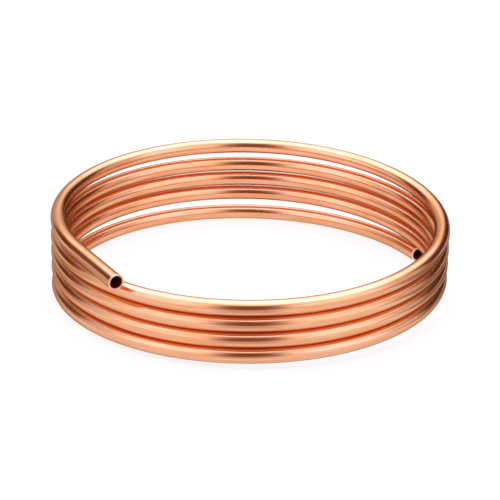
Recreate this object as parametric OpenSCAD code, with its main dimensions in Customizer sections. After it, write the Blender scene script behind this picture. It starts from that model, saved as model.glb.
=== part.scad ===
// Coil of round copper tube: one length of soft tube wound right-handed into
// loose turns, one above the other, with both ends cut square and left open. The
// turns lie close at the front and fan open at the back.
// Origin: on the coil's axis, at the level the lowest turn lies on. +Z is up.

/* [Tube] */
// Outside diameter of the tube
tube_od = 10; // [8:0.5:12]
// Wall thickness of the tube
wall = 1; // [0.6:0.1:1.5]

/* [Coil] */
// Diameter of the coil, measured at the middle of its tube
coil_d = 250; // [200:1:360]
// Turns of tube above the lower straight, up to the upper cut end
turns = 4.574; // [3.3:0.001:5.6]
// Bearing at which the lowest turn begins, anticlockwise from +X
lower_bearing = 29.3; // [0:0.1:90]
// Air between each turn and the next one up at the front, -Y, from the lowest
front_air = [0.2, 0.2, 0.2, 0.2]; // [0.2:0.1:8]
// The same at the back, +Y, where the coil fans open
back_air = [5.0, 0.8, 1.0, 3.6]; // [0.2:0.1:8]

/* [Cut ends] */
// Straight length at the lower end
lower_straight = 14; // [14:1:40]
// Straight length at the upper end, which stands out past the turn below
upper_straight = 54; // [20:1:70]

/* [Hidden] */

tube_r = tube_od / 2;
bore_r = tube_r - wall;
coil_r = coil_d / 2;
turn_length = PI * coil_d;

// Sides of the swept tube's section, and sections in a turn
SIDES = 12;
STEPS_A_TURN = 36;

// Where in each turn the tube climbs onto the next level, as shares of a turn
CLIMB_FROM = 0.43;
CLIMB_TO = 1.18;

// Both ends finish in this length of true round tube
CUT_LENGTH = 14;

// The swept wall between them lies TUCK inside the true wall and runs TUCK_LENGTH
// into it, and the true wall starts TUCK_START on, so that the two fuse with no
// faces touching
TUCK = 0.02;
TUCK_LENGTH = 3;
TUCK_START = 0.5;

// Places along the tube are told in turns up from the top of the lower straight
first = -lower_straight / turn_length;
bend = turns - upper_straight / turn_length;

function sum(list, i = 0) = i < len(list) ? list[i] + sum(list, i + 1) : 0;
function ease(x) = let (c = min(max(x, 0), 1)) c * c * (3 - 2 * c);
function bearing(t) = lower_bearing + 360 * t;

// Levels are counted from the lowest turn, and past the lists' ends the air is as at the last
levels = [0 : ceil(turns) - 1];
function nth(list, i) = list[min(i, len(list) - 1)];
function air_at(level, b) =
    let (front = nth(front_air, level), back = nth(back_air, level))
    front + (back - front) * (1 + sin(b)) / 2;
function climbed(t, level) = ease((t - level - CLIMB_FROM) / (CLIMB_TO - CLIMB_FROM));

// The tube's centre at a place: its height, and where it stands over the floor
function height(t) =
    tube_r + sum([for (k = levels) climbed(t, k) * (tube_od + air_at(k, bearing(t)))]);
function plan(t) =
    let (bent = min(max(t, 0), bend), b = bearing(bent))
    coil_r * [cos(b), sin(b)] + (t - bent) * turn_length * [-sin(b), cos(b)];
function centre(t) = [plan(t).x, plan(t).y, height(t)];
function way(a, b) = (b - a) / norm(b - a);

// Where each true round length begins, and the way it leaves the coil
CUT_TURNS = CUT_LENGTH / turn_length;
lower_root = centre(first + CUT_TURNS);
lower_way = way(lower_root, centre(first));
upper_root = centre(turns - CUT_TURNS);
upper_way = way(upper_root, centre(turns));

// A section of the tube: SIDES points round centre c, square to the direction w
function section(c, w, r) =
    let (side = way([0, 0, 0], [w.y, -w.x, 0]), up = cross(side, w))
    [for (i = [0 : SIDES - 1])
        let (a = 360 * i / SIDES) c + r * (cos(a) * side + sin(a) * up)];

// The swept centre line, from inside one true end to inside the other, and its directions
swept = turns - first - 2 * CUT_TURNS;
steps = round(swept * STEPS_A_TURN);
function place(j) = first + CUT_TURNS + swept * j / steps;
route = [
    lower_root + TUCK_LENGTH * lower_way,
    for (j = [0 : steps]) centre(place(j)),
    upper_root + TUCK_LENGTH * upper_way];
ways = [
    -lower_way,
    -lower_way,
    for (j = [1 : steps - 1]) way(centre(place(j - 0.5)), centre(place(j + 0.5))),
    upper_way,
    upper_way];

// A hollow sweep: each section is a ring of outer points followed by a ring of inner ones
module coiled() {
    out_r = tube_r - TUCK;
    in_r = (bore_r + TUCK) / cos(180 / SIDES);
    last = len(route) - 1;
    points = [for (j = [0 : last], r = [out_r, in_r]) each section(route[j], ways[j], r)];
    function at(j, ring, i) = (2 * j + ring) * SIDES + i % SIDES;
    function quad(a, b, c, d) = [[a, c, b], [a, d, c]];
    outside = [for (j = [0 : last - 1], i = [0 : SIDES - 1])
        each quad(at(j, 0, i), at(j + 1, 0, i), at(j + 1, 0, i + 1), at(j, 0, i + 1))];
    inside = [for (j = [0 : last - 1], i = [0 : SIDES - 1])
        each quad(at(j, 1, i + 1), at(j + 1, 1, i + 1), at(j + 1, 1, i), at(j, 1, i))];
    ends = [for (i = [0 : SIDES - 1]) each concat(
        quad(at(0, 0, i), at(0, 0, i + 1), at(0, 1, i + 1), at(0, 1, i)),
        quad(at(last, 0, i + 1), at(last, 0, i), at(last, 1, i), at(last, 1, i + 1)))];
    polyhedron(points, concat(outside, inside, ends), convexity = 10);
}

// The true round tube that leaves a root along a direction
module cut_end(root, w) {
    translate(root) rotate([0, acos(w.z), atan2(w.y, w.x)]) difference() {
        translate([0, 0, TUCK_START])
            cylinder(r = tube_r, h = CUT_LENGTH - TUCK_START, $fn = 96);
        cylinder(r = bore_r, h = CUT_LENGTH + 1, $fn = 96);
    }
}

module copper_tube() {
    color([0.85, 0.53, 0.38]) union() {
        coiled();
        cut_end(lower_root, lower_way);
        cut_end(upper_root, upper_way);
    }
}

copper_tube();
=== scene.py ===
"""A loose round coil of bright copper tube, both ends cut open, on a pale studio floor."""

import math

import bmesh
import bpy
from mathutils import Matrix, Vector


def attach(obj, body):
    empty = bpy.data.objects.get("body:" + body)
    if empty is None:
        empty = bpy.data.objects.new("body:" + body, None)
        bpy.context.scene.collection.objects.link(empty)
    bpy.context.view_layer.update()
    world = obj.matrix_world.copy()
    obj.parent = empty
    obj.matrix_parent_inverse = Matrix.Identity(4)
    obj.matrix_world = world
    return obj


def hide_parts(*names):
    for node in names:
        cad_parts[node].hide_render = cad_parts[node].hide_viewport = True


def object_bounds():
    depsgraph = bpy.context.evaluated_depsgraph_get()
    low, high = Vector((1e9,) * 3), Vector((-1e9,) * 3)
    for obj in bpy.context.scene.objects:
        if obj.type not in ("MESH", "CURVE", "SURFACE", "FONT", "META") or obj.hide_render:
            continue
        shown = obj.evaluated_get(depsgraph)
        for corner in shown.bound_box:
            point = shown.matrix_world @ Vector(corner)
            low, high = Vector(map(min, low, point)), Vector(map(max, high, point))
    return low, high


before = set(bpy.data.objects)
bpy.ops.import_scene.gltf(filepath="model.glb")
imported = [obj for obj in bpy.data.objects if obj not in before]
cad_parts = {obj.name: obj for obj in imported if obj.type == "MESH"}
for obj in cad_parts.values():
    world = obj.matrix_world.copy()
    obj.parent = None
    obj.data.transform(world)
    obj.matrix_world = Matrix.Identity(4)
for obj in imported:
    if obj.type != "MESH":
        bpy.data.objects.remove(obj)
cad_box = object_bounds()

# ---------------------------------------------------------------------------
# The tube. One length of soft round copper tube, wound right-handed into a
# loose coil whose turns lie close at the front and fan open at the back. Both
# ends are sawn square and rubbed smooth, and stand open.
# ---------------------------------------------------------------------------

MM = 0.001
TUBE_R = 5 * MM
WALL = 1 * MM
BORE_R = TUBE_R - WALL
COIL_R = 125 * MM
TURN_LENGTH = 2 * math.pi * COIL_R
LOWER_STRAIGHT = 14 * MM
UPPER_STRAIGHT = 54 * MM

# Places along the tube are told in turns up from the top of the lower straight
TURNS = 4.574
FIRST = -LOWER_STRAIGHT / TURN_LENGTH
BEND = TURNS - UPPER_STRAIGHT / TURN_LENGTH
LOWER_BEARING = math.radians(29.3)

# Each turn climbs onto the one below within these shares of a turn, and leaves
# this much air over it at the front and at the back, from the lowest gap up
CLIMB_FROM, CLIMB_TO = 0.43, 1.18
FRONT_AIR = [0.2 * MM] * 4
BACK_AIR = [5.0 * MM, 0.8 * MM, 1.0 * MM, 3.6 * MM]


def ease(share):
    """A climb of 0 to 1 that starts and ends level."""
    share = min(max(share, 0), 1)
    return share * share * (3 - 2 * share)


def air_at(level, bearing):
    """Air over a level: the least at the front, the most at the back."""
    front, back = FRONT_AIR[level], BACK_AIR[level]
    return front + (back - front) * (1 + math.sin(bearing)) / 2


def centre(place):
    """The middle of the tube at a place along it."""
    bent = min(max(place, 0), BEND)
    bearing = LOWER_BEARING + 2 * math.pi * bent
    beyond = (place - bent) * TURN_LENGTH
    height = TUBE_R
    true_bearing = LOWER_BEARING + 2 * math.pi * place
    for level in range(len(FRONT_AIR)):
        climbed = ease((place - level - CLIMB_FROM) / (CLIMB_TO - CLIMB_FROM))
        height += climbed * (2 * TUBE_R + air_at(level, true_bearing))
    return Vector((
        COIL_R * math.cos(bearing) - beyond * math.sin(bearing),
        COIL_R * math.sin(bearing) + beyond * math.cos(bearing),
        height))


NUDGE = 0.0005


def section(place, radius):
    """Lays a unit circle square across the tube at a place, at a radius."""
    along = (centre(place + NUDGE) - centre(place - NUDGE)).normalized()
    side = Vector((along.y, -along.x, 0)).normalized()
    axes = Matrix((side, along.cross(side), along)).transposed()
    return Matrix.Translation(centre(place)) @ (axes * radius).to_4x4()


SIDES = 48
STEPS_A_TURN = 144
BORE_STEPS_A_TURN = 60
OUTER_EDGE = 0.3 * MM
INNER_EDGE = 0.2 * MM
EDGE_STEPS = 4
RIM_MARGIN = 1 * MM / TURN_LENGTH
DRAWN, CUT, BORE = 0, 1, 2


def spread(start, end, steps):
    """Places from start to end, in even steps."""
    return [start + (end - start) * i / steps for i in range(steps + 1)]


def rounded_rim(cut_place, way):
    """Stations over a cut end, from the outside in: way is +1 at the upper end."""
    stations = []
    for i in range(EDGE_STEPS + 1):
        turn = math.pi / 2 * i / EDGE_STEPS
        back = OUTER_EDGE * (1 - math.sin(turn))
        radius = TUBE_R - OUTER_EDGE * (1 - math.cos(turn))
        stations.append((cut_place - way * back / TURN_LENGTH, radius, CUT))
    for i in range(EDGE_STEPS + 1):
        turn = math.pi / 2 * i / EDGE_STEPS
        back = INNER_EDGE * (1 - math.cos(turn))
        radius = BORE_R + INNER_EDGE * (1 - math.sin(turn))
        stations.append((cut_place - way * back / TURN_LENGTH, radius, CUT))
    return stations


# Stations (place, radius, finish) run up the outside, over the upper cut end,
# back down the bore and over the lower cut end, so that the wall closes on itself
outside = spread(FIRST + RIM_MARGIN, TURNS - RIM_MARGIN, round(TURNS * STEPS_A_TURN))
bore = spread(TURNS - RIM_MARGIN, FIRST + RIM_MARGIN, round(TURNS * BORE_STEPS_A_TURN))
stations = [(place, TUBE_R, DRAWN) for place in outside]
stations += rounded_rim(TURNS, 1)
stations += [(place, BORE_R, BORE) for place in bore]
stations += rounded_rim(FIRST, -1)[::-1]

# A circle is drawn out from station to station. Each vertex keeps its share of the
# way round and its metres along, which become the tube's own UV map
bm = bmesh.new()
around = bm.verts.layers.float.new("around")
along = bm.verts.layers.float.new("along")
start_place, start_radius, _ = stations[0]
here = section(start_place, start_radius)
ring = bmesh.ops.create_circle(bm, segments=SIDES, radius=1)["verts"]
for vert in ring:
    vert[around] = (math.atan2(vert.co.y, vert.co.x) / (2 * math.pi)) % 1
    vert[along] = start_place * TURN_LENGTH
bmesh.ops.transform(bm, matrix=here, verts=ring)
edges = bm.edges[:]
first_edges = edges
for place, radius, finish in stations[1:]:
    grown = bmesh.ops.extrude_edge_only(bm, edges=edges)["geom"]
    ring = [item for item in grown if isinstance(item, bmesh.types.BMVert)]
    edges = [item for item in grown if isinstance(item, bmesh.types.BMEdge)]
    there = section(place, radius)
    bmesh.ops.transform(bm, matrix=there @ here.inverted(), verts=ring)
    here = there
    for vert in ring:
        vert[along] = place * TURN_LENGTH
    for face in (item for item in grown if isinstance(item, bmesh.types.BMFace)):
        face.material_index = finish
closing = bmesh.ops.bridge_loops(bm, edges=first_edges + edges)
for face in closing["faces"]:
    face.material_index = CUT
bmesh.ops.recalc_face_normals(bm, faces=bm.faces)

uv = bm.loops.layers.uv.new("tube")
for face in bm.faces:
    face.smooth = True
    turned = [loop.vert[around] for loop in face.loops]
    for loop, share in zip(face.loops, turned):
        wrapped = share + 1 if max(turned) - share > 0.5 else share
        loop[uv].uv = (wrapped, loop.vert[along])

tube_mesh = bpy.data.meshes.new("copper_tube_drawn")
bm.to_mesh(tube_mesh)
bm.free()
tube = bpy.data.objects.new("copper_tube_drawn", tube_mesh)
bpy.context.scene.collection.objects.link(tube)


def node(tree, kind, **settings):
    """A new node in a material, a group or the sky, with its settings."""
    made = tree.nodes.new(kind)
    for name, value in settings.items():
        setattr(made, name, value)
    return made


def feed(tree, target, value):
    """Sets an input to a number or a colour, or links it to another node's output."""
    if isinstance(value, bpy.types.NodeSocket):
        tree.links.new(value, target)
    else:
        target.default_value = value


def math_node(tree, operation, *values):
    """One sum, product or comparison of numbers or of outputs."""
    made = node(tree, "ShaderNodeMath", operation=operation)
    for target, value in zip(made.inputs, values):
        feed(tree, target, value)
    return made.outputs[0]


def ranged(tree, value, low, high, to_low, to_high):
    """A value moved from one range to another, and held within it."""
    made = node(tree, "ShaderNodeMapRange", clamp=True)
    ends = (("From Min", low), ("From Max", high), ("To Min", to_low), ("To Max", to_high))
    for name, number in ends:
        made.inputs[name].default_value = number
    tree.links.new(value, made.inputs["Value"])
    return made.outputs["Result"]


def mixed(tree, share, a, b, kind="RGBA"):
    """a where share is 0, b where it is 1: colours, or numbers of the kind FLOAT."""
    made = node(tree, "ShaderNodeMix", data_type=kind)
    first = 6 if kind == "RGBA" else 2
    tree.links.new(share, made.inputs[0])
    feed(tree, made.inputs[first], a)
    feed(tree, made.inputs[first + 1], b)
    return made.outputs[2 if kind == "RGBA" else 0]


def tube_noise_group():
    """A noise of 0 to 1 on the tube's skin, without a seam, with its own scales round and along."""
    group = bpy.data.node_groups.new("noise along the tube", "ShaderNodeTree")
    for name in ("Round scale", "Length scale", "Detail"):
        group.interface.new_socket(name=name, in_out="INPUT", socket_type="NodeSocketFloat")
    group.interface.new_socket(name="Noise", in_out="OUTPUT", socket_type="NodeSocketFloat")
    given = node(group, "NodeGroupInput")
    result = node(group, "NodeGroupOutput")
    skin = node(group, "ShaderNodeUVMap", uv_map="tube")
    parts = node(group, "ShaderNodeSeparateXYZ")
    group.links.new(skin.outputs["UV"], parts.inputs[0])
    angle = math_node(group, "MULTIPLY", parts.outputs["X"], 2 * math.pi)
    place = node(group, "ShaderNodeCombineXYZ")
    for axis, operation in (("X", "COSINE"), ("Y", "SINE")):
        turned = math_node(group, operation, angle)
        scaled = math_node(group, "MULTIPLY", turned, given.outputs["Round scale"])
        group.links.new(scaled, place.inputs[axis])
    length = math_node(group, "MULTIPLY", parts.outputs["Y"], given.outputs["Length scale"])
    group.links.new(length, place.inputs["Z"])
    cloud = node(group, "ShaderNodeTexNoise")
    cloud.inputs["Scale"].default_value = 1.0
    group.links.new(given.outputs["Detail"], cloud.inputs["Detail"])
    group.links.new(place.outputs[0], cloud.inputs["Vector"])
    group.links.new(cloud.outputs["Fac"], result.inputs["Noise"])
    return group


TUBE_NOISE = tube_noise_group()


def noise_on_tube(tree, round_scale, length_scale, detail):
    """The tube's noise in a material, drawn out along the tube where length_scale is small."""
    made = node(tree, "ShaderNodeGroup", node_tree=TUBE_NOISE)
    made.inputs["Round scale"].default_value = round_scale
    made.inputs["Length scale"].default_value = length_scale
    made.inputs["Detail"].default_value = detail
    return made.outputs["Noise"]


def copper(name, colour, roughness):
    """A plain copper of one colour and roughness, as a start for each finish."""
    material = bpy.data.materials.new(name)
    material.use_nodes = True
    shader = material.node_tree.nodes["Principled BSDF"]
    shader.inputs["Metallic"].default_value = 1.0
    shader.inputs["Base Color"].default_value = colour
    shader.inputs["Roughness"].default_value = roughness
    return material


COPPER = (0.835, 0.370, 0.170, 1)
PALE_COPPER = (0.865, 0.450, 0.272, 1)
DRAW_LINE = (0.74, 0.29, 0.14, 1)
BRIGHT_STREAK = (0.91, 0.52, 0.36, 1)
# Painted shade: the dark brown laid over the copper where it is seen edge-on, to the camera only
PAINTED_EDGE_SHADE = (0.22, 0.13, 0.07, 1)
EDGE_TINT = (0.55, 0.48, 0.40, 1)
GROOVE_GLOW = (0.52, 0.28, 0.16, 1)
GLOW_STRENGTH = 0.22
FIRST_BOUNCES = 1.5
CUT_PINK = (0.93, 0.50, 0.36, 1)
BORE_RED = (0.55, 0.16, 0.12, 1)
SMOOTH, RUBBED = 0.16, 0.26
LINE_DEPTH = 0.05 * MM


def drawn_copper():
    """Bright soft copper as drawn and annealed: fine lines along it, faint clouds of heat tint,
    and painted shade that darkens it where it is seen edge-on, to the camera only."""
    material = copper("drawn copper", COPPER, SMOOTH)
    tree = material.node_tree
    shader = tree.nodes["Principled BSDF"]
    lines = noise_on_tube(tree, 14.0, 14.0, 3.0)
    streaks = noise_on_tube(tree, 4.0, 6.0, 2.0)
    clouds = noise_on_tube(tree, 1.1, 30.0, 3.0)
    tinted = mixed(tree, ranged(tree, clouds, 0.38, 0.62, 0, 1), COPPER, PALE_COPPER)
    lined = mixed(tree, ranged(tree, lines, 0.47, 0.68, 0, 0.7), tinted, DRAW_LINE)
    streaked = mixed(tree, ranged(tree, streaks, 0.5, 0.68, 0, 0.5), lined, BRIGHT_STREAK)

    # Painted shade on the copper where it is seen edge-on, at its outlines and on both sides of each
    # groove between turns. It shows only to the eye, not in what one turn mirrors of another
    edge = node(tree, "ShaderNodeLayerWeight")
    edge.inputs["Blend"].default_value = 0.5
    bounce = node(tree, "ShaderNodeLightPath")
    edge_on = ranged(tree, edge.outputs["Facing"], 0.62, 0.94, 0, 0.8)
    painted_shade_share = math_node(tree, "MULTIPLY", edge_on, bounce.outputs["Is Camera Ray"])
    feed(tree, shader.inputs["Base Color"], mixed(tree, painted_shade_share, streaked, PAINTED_EDGE_SHADE))
    shader.inputs["Specular Tint"].default_value = EDGE_TINT
    feed(tree, shader.inputs["Roughness"], ranged(tree, lines, 0.3, 0.7, SMOOTH, RUBBED))

    bump = node(tree, "ShaderNodeBump")
    bump.inputs["Strength"].default_value = 0.3
    bump.inputs["Distance"].default_value = LINE_DEPTH
    tree.links.new(lines, bump.inputs["Height"])
    tree.links.new(bump.outputs["Normal"], shader.inputs["Normal"])

    # Copper met at a second bounce or later gives a little light of its own, which
    # lifts the dark between close turns
    deep = math_node(tree, "GREATER_THAN", bounce.outputs["Ray Depth"], FIRST_BOUNCES)
    shader.inputs["Emission Color"].default_value = GROOVE_GLOW
    feed(tree, shader.inputs["Emission Strength"], math_node(tree, "MULTIPLY", deep, GLOW_STRENGTH))
    return material


# The wall's sawn face is fresh, pinker metal. The bore is dull and dark. They are
# added in the order of the numbers DRAWN, CUT and BORE
tube_mesh.materials.append(drawn_copper())
tube_mesh.materials.append(copper("cut copper", CUT_PINK, 0.35))
tube_mesh.materials.append(copper("bore copper", BORE_RED, 0.45))
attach(tube, "root")
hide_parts("copper_tube")


# ---------------------------------------------------------------------------
# The floor. A plain pale sweep of matt board, level with the lowest turn. Most of
# its brightness is light of its own, which nearly hides the coil's shadow.
# ---------------------------------------------------------------------------

def cosine(degrees):
    """The cosine of an angle in degrees."""
    return math.cos(math.radians(degrees))


def sine(degrees):
    """The sine of an angle in degrees."""
    return math.sin(math.radians(degrees))


def smooth_range(tree, value, low, high):
    """0 at low and 1 at high, with a soft step between."""
    made = node(tree, "ShaderNodeMapRange", interpolation_type="SMOOTHSTEP", clamp=True)
    made.inputs["From Min"].default_value = low
    made.inputs["From Max"].default_value = high
    tree.links.new(value, made.inputs["Value"])
    return made.outputs["Result"]


def level_way(tree, vector):
    """A vector laid level and made one long."""
    flat = node(tree, "ShaderNodeVectorMath", operation="MULTIPLY")
    tree.links.new(vector, flat.inputs[0])
    flat.inputs[1].default_value = (1, 1, 0)
    unit = node(tree, "ShaderNodeVectorMath", operation="NORMALIZE")
    tree.links.new(flat.outputs[0], unit.inputs[0])
    return unit.outputs[0]


def towards(tree, vector, aim):
    """The cosine of the angle between a direction and an aim."""
    made = node(tree, "ShaderNodeVectorMath", operation="DOT_PRODUCT")
    tree.links.new(vector, made.inputs[0])
    made.inputs[1].default_value = Vector(aim).normalized()
    return made.outputs["Value"]


def sector(tree, level, azimuth, half_width, soft):
    """1 within a sector of azimuths, in degrees, 0 outside it."""
    aim = (cosine(azimuth), sine(azimuth), 0)
    return smooth_range(tree, towards(tree, level, aim),
                        cosine(half_width + soft), cosine(half_width - soft))


FLOOR_SIDE = 12.0
FLOOR_GREY = (0.18, 0.18, 0.18, 1)
FLOOR_GLOW = 0.80
DIM_BROWN = (1.0, 0.38, 0.15, 1)
WHITE = (1, 1, 1, 1)
BOARD_EDGE, BOARD_SOFT = 0.160, 0.022
# Azimuth, half width and softness in degrees, and how dark, of the ground past the board
GROUND_SECTORS = [(184, 12, 7, 0.5), (2, 22, 8, 0.9), (270, 8, 8, 0.5)]
bm = bmesh.new()
bmesh.ops.create_grid(bm, x_segments=1, y_segments=1, size=FLOOR_SIDE / 2)
bmesh.ops.translate(bm, vec=(0, 0, cad_box[0].z), verts=bm.verts)
floor_mesh = bpy.data.meshes.new("floor")
bm.to_mesh(floor_mesh)
bm.free()
floor = bpy.data.objects.new("floor", floor_mesh)
bpy.context.scene.collection.objects.link(floor)
board = bpy.data.materials.new("pale board")
board.use_nodes = True
ground = board.node_tree
board_shader = ground.nodes["Principled BSDF"]
board_shader.inputs["Base Color"].default_value = FLOOR_GREY
board_shader.inputs["Roughness"].default_value = 0.9
board_shader.inputs["Specular IOR Level"].default_value = 0.0

# The copper mirrors darker ground past the edge of the board, at three places. To
# the camera itself the ground gives the same light all over
spot = node(ground, "ShaderNodeNewGeometry").outputs["Position"]
reach = node(ground, "ShaderNodeVectorMath", operation="LENGTH")
ground.links.new(spot, reach.inputs[0])
past = smooth_range(ground, reach.outputs["Value"], BOARD_EDGE - BOARD_SOFT, BOARD_EDGE + BOARD_SOFT)
around_coil = level_way(ground, spot)
dim = None
for azimuth, half_width, soft, depth in GROUND_SECTORS:
    shade = math_node(ground, "MULTIPLY", sector(ground, around_coil, azimuth, half_width, soft), past)
    left = math_node(ground, "SUBTRACT", 1.0, math_node(ground, "MULTIPLY", shade, depth))
    dim = left if dim is None else math_node(ground, "MULTIPLY", dim, left)
seen = node(ground, "ShaderNodeLightPath").outputs["Is Camera Ray"]
mirrored = math_node(ground, "MULTIPLY", dim, FLOOR_GLOW)
glow = mixed(ground, seen, mirrored, FLOOR_GLOW, "FLOAT")
feed(ground, board_shader.inputs["Emission Strength"], glow)
hue = mixed(ground, smooth_range(ground, glow, 0.1, 0.7), DIM_BROWN, WHITE)
feed(ground, board_shader.inputs["Emission Color"], hue)
floor_mesh.materials.append(board)


# ---------------------------------------------------------------------------
# The studio. A white tent with a wide soft light overhead, a brighter wall at each
# side of the front, and three dark openings: one in front, where the camera
# stands, and one at each side towards the back.
# ---------------------------------------------------------------------------

world = bpy.data.worlds.new("studio")
bpy.context.scene.world = world
world.use_nodes = True
sky = world.node_tree
sky.nodes.clear()
normalise = node(sky, "ShaderNodeVectorMath", operation="NORMALIZE")
sky.links.new(node(sky, "ShaderNodeTexCoord").outputs["Generated"], normalise.inputs[0])
direction = normalise.outputs[0]
level = level_way(sky, direction)
parts = node(sky, "ShaderNodeSeparateXYZ")
sky.links.new(direction, parts.inputs[0])
upward = parts.outputs["Z"]


def patch(azimuth, half_width, soft, bottom, top, soft_up):
    """1 inside a soft-edged patch of the tent, 0 outside it. Angles are in degrees."""
    across = sector(sky, level, azimuth, half_width, soft)
    over = smooth_range(sky, upward, sine(top + soft_up), sine(top - soft_up))
    under = smooth_range(sky, upward, sine(bottom - soft_up), sine(bottom + soft_up))
    return math_node(sky, "MULTIPLY", math_node(sky, "MULTIPLY", across, over), under)


WALLS, OVERHEAD, BACKDROP = 0.82, 2.6, 1.0
LAMP_LEAN, LAMP_CORE, LAMP_RIM = 18, 30, 50
LAMP_HUE = (0.96, 1.0, 1.3, 1)
# Azimuth, half width and softness, bottom, top and softness, and the light there
PATCHES = [
    (218, 26, 12, 6, 56, 10, 1.6),
    (322, 26, 12, 6, 56, 10, 1.6),
    (270, 15, 10, -2, 54, 9, 0.17),
    (146, 14, 9, -6, 34, 9, 0.13),
    (48, 25, 9, -30, 42, 9, 0.08),
]

light = WALLS
for *shape, strength in PATCHES:
    light = mixed(sky, patch(*shape), light, strength, "FLOAT")
lamp_aim = (0, sine(LAMP_LEAN), cosine(LAMP_LEAN))
lamp = smooth_range(sky, towards(sky, direction, lamp_aim), cosine(LAMP_RIM), cosine(LAMP_CORE))
light = mixed(sky, lamp, light, OVERHEAD, "FLOAT")
tint = mixed(sky, smooth_range(sky, light, 0.2, 0.7), DIM_BROWN, WHITE)
tint = mixed(sky, smooth_range(sky, light, 1.0, 2.4), tint, LAMP_HUE)

# The camera sees all of the tent at one strength, but still in its tints. Only the
# copper and the floor get its light and dark
seen = node(sky, "ShaderNodeLightPath").outputs["Is Camera Ray"]
background = node(sky, "ShaderNodeBackground")
feed(sky, background.inputs["Strength"], mixed(sky, seen, light, BACKDROP, "FLOAT"))
feed(sky, background.inputs["Color"], tint)
world_out = node(sky, "ShaderNodeOutputWorld")
sky.links.new(background.outputs[0], world_out.inputs["Surface"])
bpy.context.scene.view_settings.view_transform = "Standard"

# ---------------------------------------------------------------------------
# The camera. A long lens, well back, looking down on the coil from the front.
# ---------------------------------------------------------------------------

CAMERA_DISTANCE = 1.1538
CAMERA_LIFT = 0.0002
CAMERA_UP = math.radians(23.02)
CAMERA_ROLL = math.radians(1.37)
AIM = Vector((0.0001, 0, 0.0249))
lens = bpy.data.cameras.new("camera")
lens.lens = 125.15
lens.sensor_width = 36
lens.clip_end = 100
camera = bpy.data.objects.new("camera", lens)
bpy.context.scene.collection.objects.link(camera)
camera.location = CAMERA_DISTANCE * Vector((0, -math.cos(CAMERA_UP), math.sin(CAMERA_UP)))
camera.location.z += CAMERA_LIFT
facing = (AIM - camera.location).to_track_quat("-Z", "Y").to_matrix()
camera.rotation_euler = (facing @ Matrix.Rotation(CAMERA_ROLL, 3, "Z")).to_euler()
bpy.context.scene.camera = camera
